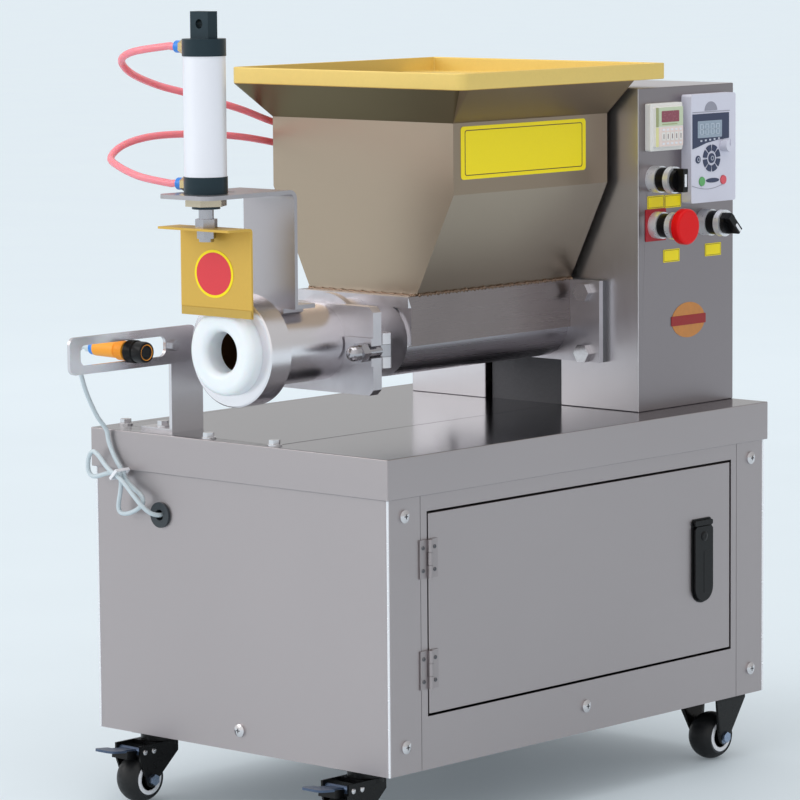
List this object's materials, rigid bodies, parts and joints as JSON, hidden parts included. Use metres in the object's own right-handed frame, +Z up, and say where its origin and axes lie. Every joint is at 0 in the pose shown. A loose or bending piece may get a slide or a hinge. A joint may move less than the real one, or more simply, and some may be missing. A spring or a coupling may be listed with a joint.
{
  "type": "dough divider",
  "caption": "Dough divider on a wheeled steel cabinet: hopper over a twin-screw barrel, white nozzle, air-driven gold cutter, length sensor on a slotted arm and a control tower.",
  "frame": {"origin": "On the floor under the middle of the machine's overall box.", "axes": "+Z up, -Y toward the nozzle, +X toward the door and the controls."},
  "size_m": [0.4459, 0.7924, 0.868],
  "materials": {
    "panel_steel": "satin brushed stainless sheet",
    "cover_steel": "polished stainless sheet",
    "machined_steel": "turned and milled stainless",
    "hopper_steel": "brushed stainless, warm tint",
    "gold_trim": "gold-coloured coating",
    "black_paint": "black enamel",
    "zinc_steel": "bright zinc plating",
    "cast_grey": "dark painted casting",
    "motor_paint": "blue-grey enamel",
    "tyre_black": "black rubber on a plastic hub",
    "pedal_paint": "blue-grey plating",
    "white_plastic": "smooth white food plastic",
    "black_plastic": "black moulded plastic",
    "drive_plastic": "pale grey moulded plastic",
    "relay_plastic": "ivory moulded plastic",
    "red_plastic": "red moulded plastic",
    "green_plastic": "green moulded plastic",
    "tube_aluminium": "anodised drawn tube",
    "cap_paint": "dark anodised",
    "brass_fittings": "bright turned brass",
    "hose_red": "translucent red tubing",
    "cable_grey": "pale grey cable sheath",
    "rubber_grey": "dark grey rubber",
    "sensor_orange": "orange threaded metal body"
  },
  "bodies": {
    "frame": {"base_tray": "cast_grey", "front_panel": "panel_steel", "rear_panel": "panel_steel", "right_panel": "panel_steel", "left_panel": "panel_steel", "top_cover": "cover_steel", "panel_screws": "zinc_steel", "cable_grommets": "rubber_grey", "hinge_frame_leaves": "zinc_steel", "caster_brackets": "black_paint", "control_tower": "panel_steel", "gear_case": "cast_grey", "bearing_set": "zinc_steel", "gearmotor": "motor_paint", "barrel": "machined_steel", "hopper": "hopper_steel", "hopper_rim": "gold_trim", "nozzle_body": "machined_steel", "nozzle_ring": "machined_steel", "nozzle": "white_plastic", "hex_bolts": "zinc_steel", "cylinder_bracket": "machined_steel", "cylinder_tube": "tube_aluminium", "cylinder_caps": "cap_paint", "air_fittings": "brass_fittings", "air_hose_upper": "hose_red", "air_hose_lower": "hose_red", "sensor_bracket": "machined_steel", "sensor": "sensor_orange", "sensor_cable": "cable_grey", "cable_tie": "black_plastic", "speed_drive": "drive_plastic", "time_relay": "relay_plastic", "switch_bases": "zinc_steel"},
    "door": {"door": "panel_steel", "hinge_door_leaves": "zinc_steel", "latch_bezel": "black_plastic"},
    "latch": {"latch_lever": "black_plastic"},
    "fork_left": {"fork_left": "black_paint"},
    "fork_right": {"fork_right": "black_paint"},
    "pedal_left": {"brake_pedal_left": "pedal_paint"},
    "pedal_right": {"brake_pedal_right": "pedal_paint"},
    "wheel_front_left": {"wheel_front_left": "tyre_black"},
    "wheel_front_right": {"wheel_front_right": "tyre_black"},
    "wheel_rear_left": {"wheel_rear_left": "tyre_black"},
    "wheel_rear_right": {"wheel_rear_right": "tyre_black"},
    "screw_right": {"screw_right": "machined_steel", "timing_gear_right": "machined_steel"},
    "screw_left": {"screw_left": "machined_steel", "timing_gear_left": "machined_steel"},
    "swing_bolt_right": {"swing_bolt_right": "zinc_steel"},
    "swing_bolt_left": {"swing_bolt_left": "zinc_steel"},
    "cutter": {"piston_rod": "zinc_steel", "cutter_blade": "gold_trim"},
    "speed_knob": {"speed_knob": "drive_plastic"},
    "run_key": {"run_key": "green_plastic"},
    "stop_key": {"stop_key": "red_plastic"},
    "stop_button": {"stop_button": "red_plastic"},
    "selector_left": {"selector_left": "black_plastic"},
    "selector_right": {"selector_right": "black_plastic"}
  },
  "joints": [
    {"name": "door_hinge", "type": "hinge", "parent": "frame", "child": "door", "pos_m": [0.2196, -0.196, 0.241], "axis": [0, 0, -1], "range_deg": [0, 110]},
    {"name": "latch_pull", "type": "hinge", "parent": "door", "child": "latch", "pos_m": [0.2225, 0.2653, 0.279], "axis": [0, -1, 0], "range_deg": [0, 40]},
    {"name": "caster_swivel_left", "type": "hinge", "parent": "frame", "child": "fork_left", "pos_m": [-0.155, -0.2276, 0.066], "axis": [0, 0, 1], "continuous": true},
    {"name": "front_wheel_spin_left", "type": "hinge", "parent": "fork_left", "child": "wheel_front_left", "pos_m": [-0.155, -0.2576, 0.027], "axis": [1, 0, 0], "continuous": true},
    {"name": "brake_press_left", "type": "hinge", "parent": "fork_left", "child": "pedal_left", "pos_m": [-0.155, -0.2686, 0.05865], "axis": [1, 0, 0], "range_deg": [0, 13]},
    {"name": "rear_wheel_spin_left", "type": "hinge", "parent": "frame", "child": "wheel_rear_left", "pos_m": [-0.18, 0.3292, 0.027], "axis": [1, 0, 0], "continuous": true},
    {"name": "swing_bolt_left", "type": "hinge", "parent": "frame", "child": "swing_bolt_left", "pos_m": [-0.073, -0.1052, 0.501], "axis": [0, 0, -1], "range_deg": [0, 95]},
    {"name": "caster_swivel_right", "type": "hinge", "parent": "frame", "child": "fork_right", "pos_m": [0.155, -0.2276, 0.066], "axis": [0, 0, 1], "continuous": true},
    {"name": "front_wheel_spin_right", "type": "hinge", "parent": "fork_right", "child": "wheel_front_right", "pos_m": [0.155, -0.2576, 0.027], "axis": [1, 0, 0], "continuous": true},
    {"name": "brake_press_right", "type": "hinge", "parent": "fork_right", "child": "pedal_right", "pos_m": [0.155, -0.2686, 0.05865], "axis": [1, 0, 0], "range_deg": [0, 13]},
    {"name": "rear_wheel_spin_right", "type": "hinge", "parent": "frame", "child": "wheel_rear_right", "pos_m": [0.18, 0.3292, 0.027], "axis": [1, 0, 0], "continuous": true},
    {"name": "swing_bolt_right", "type": "hinge", "parent": "frame", "child": "swing_bolt_right", "pos_m": [0.073, -0.1052, 0.501], "axis": [0, 0, 1], "range_deg": [0, 95]},
    {"name": "screw_spin_right", "type": "hinge", "parent": "frame", "child": "screw_right", "pos_m": [0.038, 0.0613, 0.508], "axis": [0, 1, 0], "continuous": true},
    {"name": "screw_spin_left", "type": "hinge", "parent": "frame", "child": "screw_left", "pos_m": [-0.038, 0.0613, 0.508], "axis": [0, 1, 0], "continuous": true},
    {"name": "cutter_stroke", "type": "slide", "parent": "frame", "child": "cutter", "axis": [0, 0, -1], "range_m": [0, 0.075]},
    {"name": "speed_dial", "type": "hinge", "parent": "frame", "child": "speed_knob", "pos_m": [0.194, 0.3463, 0.703], "axis": [1, 0, 0], "range_deg": [-150, 150]},
    {"name": "run_press", "type": "slide", "parent": "frame", "child": "run_key", "axis": [-1, 0, 0], "range_m": [0, 0.0008], "stiffness_N_per_m": 300},
    {"name": "stop_press", "type": "slide", "parent": "frame", "child": "stop_key", "axis": [-1, 0, 0], "range_m": [0, 0.0008], "stiffness_N_per_m": 300},
    {"name": "emergency_press", "type": "slide", "parent": "frame", "child": "stop_button", "axis": [-1, 0, 0], "range_m": [0, 0.005]},
    {"name": "selector_turn_left", "type": "hinge", "parent": "frame", "child": "selector_left", "pos_m": [0.205, 0.2383, 0.67], "axis": [1, 0, 0], "range_deg": [-45, 45]},
    {"name": "selector_turn_right", "type": "hinge", "parent": "frame", "child": "selector_right", "pos_m": [0.205, 0.3293, 0.6165], "axis": [1, 0, 0], "range_deg": [0, 90]}
  ],
  "couplings": [
    {"joint": "screw_spin_left", "follows": "screw_spin_right", "ratio": -1}
  ]
}
